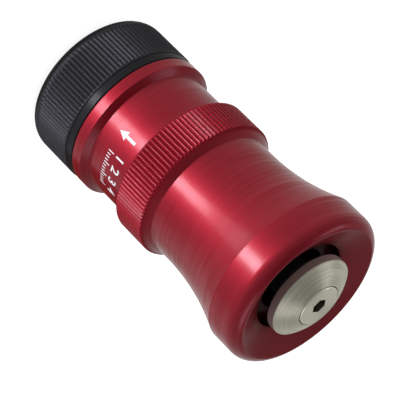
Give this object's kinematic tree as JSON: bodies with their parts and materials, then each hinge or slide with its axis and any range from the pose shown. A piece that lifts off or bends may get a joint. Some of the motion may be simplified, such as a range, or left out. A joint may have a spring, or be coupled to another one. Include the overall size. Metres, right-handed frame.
{
  "type": "fire hose nozzle",
  "caption": "Adjustable fog nozzle for a small fire hose: knurled swivel inlet, red body, turning barrel with a flared bumper, and a domed steel baffle in the mouth.",
  "frame": {"origin": "on the axis, at the back face of the swivel coupling, which it stands on", "axes": "+Z along the axis, the way the water flows, from the swivel to the baffle; +Y is the side of the cam screw and the ball plug screw; +X completes the frame"},
  "size_m": [0.06, 0.06, 0.1193],
  "materials": {
    "red_anodised": "satin red anodised, fine turning lines",
    "black_anodised": "satin black anodised, knurled",
    "stainless": "turned stainless steel",
    "screw_steel": "turned stainless screw",
    "ball_steel": "polished bearing balls",
    "rubber": "moulded black rubber",
    "white_plastic": "machined acetal"
  },
  "bodies": {
    "body": {"body_base": "red_anodised", "tail_seal": "rubber", "swivel_balls": "ball_steel", "nose_oring": "rubber", "stem_spider": "stainless", "spider_retaining_ring": "stainless", "stem": "stainless", "stem_washer": "stainless", "stem_lock_washer": "stainless", "stem_nut": "stainless", "baffle_head": "stainless", "baffle_seal": "rubber", "baffle_screw": "screw_steel"},
    "swivel": {"swivel_coupling": "black_anodised", "hose_gasket": "rubber", "ball_plug_screw": "screw_steel"},
    "wear_ring": {"wear_ring": "white_plastic"},
    "barrel": {"barrel": "red_anodised", "wiper_oring": "rubber", "cam_screw": "screw_steel"}
  },
  "joints": [
    {"name": "swivel_spin", "type": "hinge", "parent": "body", "child": "swivel", "pos_m": [0, 0, 0.0216], "axis": [0, 0, 1], "continuous": true},
    {"name": "barrel_turn", "type": "hinge", "parent": "body", "child": "wear_ring", "pos_m": [0, 0, 0.0705], "axis": [0, 0, 1], "range_deg": [0, 180]},
    {"name": "barrel_travel", "type": "slide", "parent": "wear_ring", "child": "barrel", "axis": [0, 0, 1], "range_m": [0, 0.0045]}
  ],
  "couplings": [
    {"joint": "barrel_travel", "follows": "barrel_turn", "m_per_rad": 0.0014323}
  ]
}
